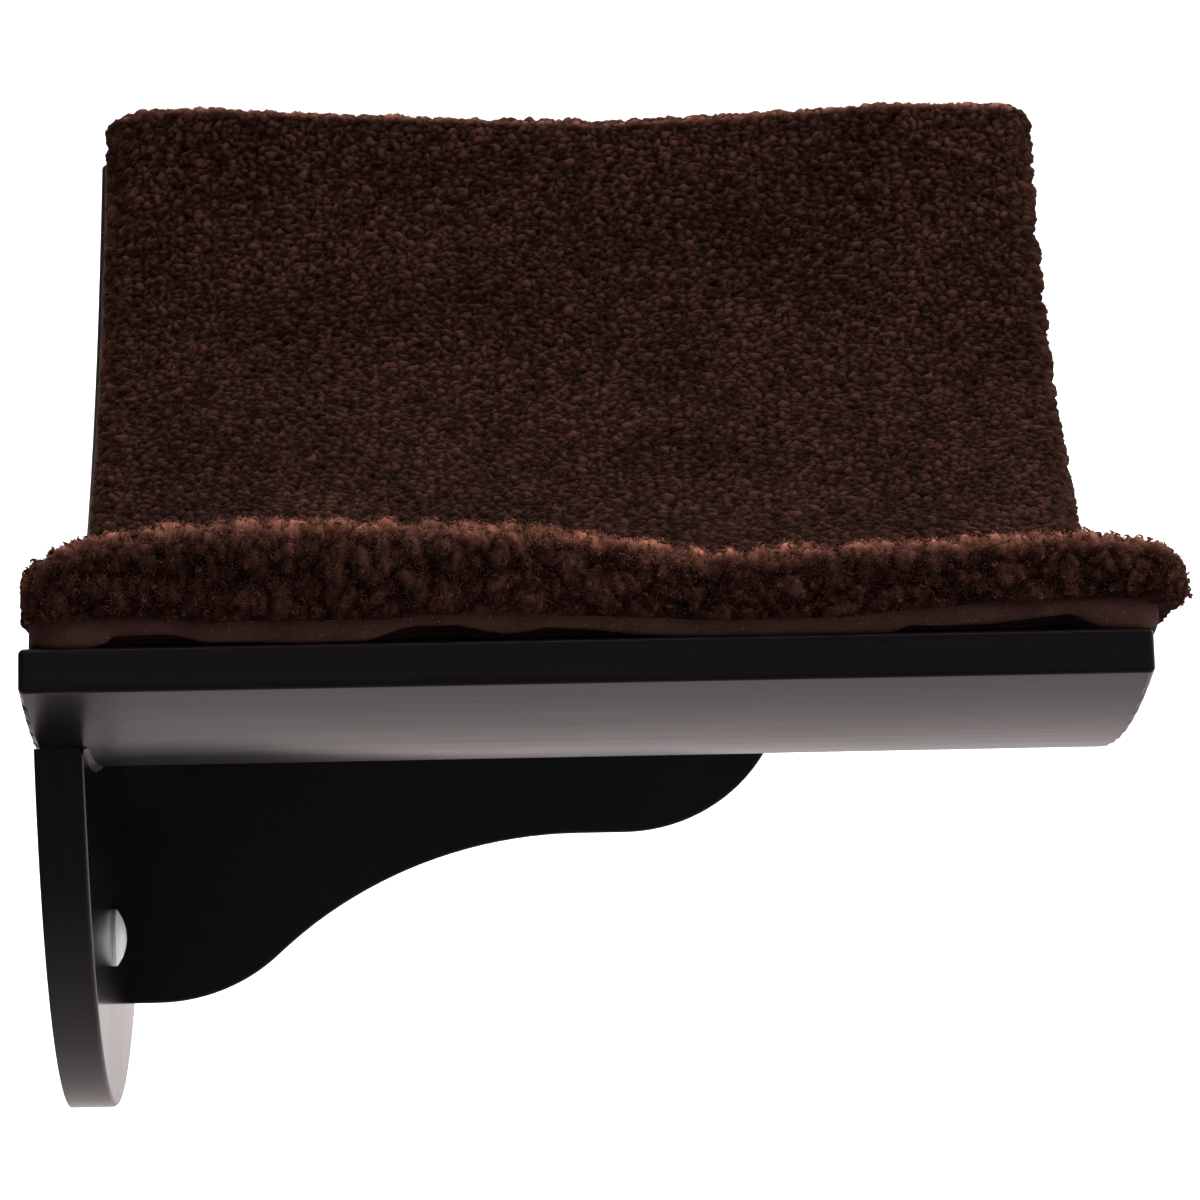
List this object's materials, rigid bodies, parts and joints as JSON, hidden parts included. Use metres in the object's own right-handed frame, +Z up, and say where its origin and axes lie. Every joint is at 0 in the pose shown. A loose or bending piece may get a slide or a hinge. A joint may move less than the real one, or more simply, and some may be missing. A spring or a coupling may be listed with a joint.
{
  "type": "cat wall shelf",
  "caption": "Bowed cat wall shelf in dark espresso on a half-oval wall plate and scroll bracket, with a lift-off brown sherpa fleece pad and white screw caps.",
  "frame": {"origin": "on the wall face, midway between the two wall-screw holes", "axes": "+X along the wall, +Y into the wall so that the room is at -Y, +Z up"},
  "size_m": [0.5068, 0.2738, 0.2084],
  "materials": {
    "espresso_paint": "satin paint",
    "glue": "dried glue line",
    "beech": "bare beech",
    "zinc_steel": "zinc plated",
    "hook_tape": "nylon hook tape",
    "loop_tape": "nylon loop tape",
    "sherpa": "curly chocolate pile",
    "suede_cloth": "brushed suede-like cloth",
    "foam": "open-cell foam",
    "white_plastic": "moulded white plastic"
  },
  "bodies": {
    "shelf": {"shelf_board": "espresso_paint", "wall_plate": "espresso_paint", "bracket": "espresso_paint", "seam_bead": "glue", "plate_dowels": "beech", "bracket_dowels": "beech", "heel_dowel": "beech", "board_to_plate_screws": "zinc_steel", "board_to_bracket_screws": "zinc_steel", "plate_to_bracket_screws": "zinc_steel", "hook_strip_left_end": "hook_tape", "hook_strip_left_inner": "hook_tape", "hook_strip_right_inner": "hook_tape", "hook_strip_right_end": "hook_tape"},
    "pad": {"fleece_pile": "sherpa", "foam_sheet": "foam", "fleece_backing": "suede_cloth", "side_band": "suede_cloth", "loop_strip_left_end": "loop_tape", "loop_strip_left_inner": "loop_tape", "loop_strip_right_inner": "loop_tape", "loop_strip_right_end": "loop_tape"},
    "cap_left": {"screw_cap_left": "white_plastic"},
    "cap_right": {"screw_cap_right": "white_plastic"}
  },
  "joints": [
    {"name": "pad_lift", "type": "slide", "parent": "shelf", "child": "pad", "axis": [0, 0, 1], "range_m": [0, 0.12]},
    {"name": "cap_left_pull", "type": "slide", "parent": "shelf", "child": "cap_left", "axis": [0, -1, 0], "range_m": [0, 0.015]},
    {"name": "cap_right_pull", "type": "slide", "parent": "shelf", "child": "cap_right", "axis": [0, -1, 0], "range_m": [0, 0.015]}
  ]
}
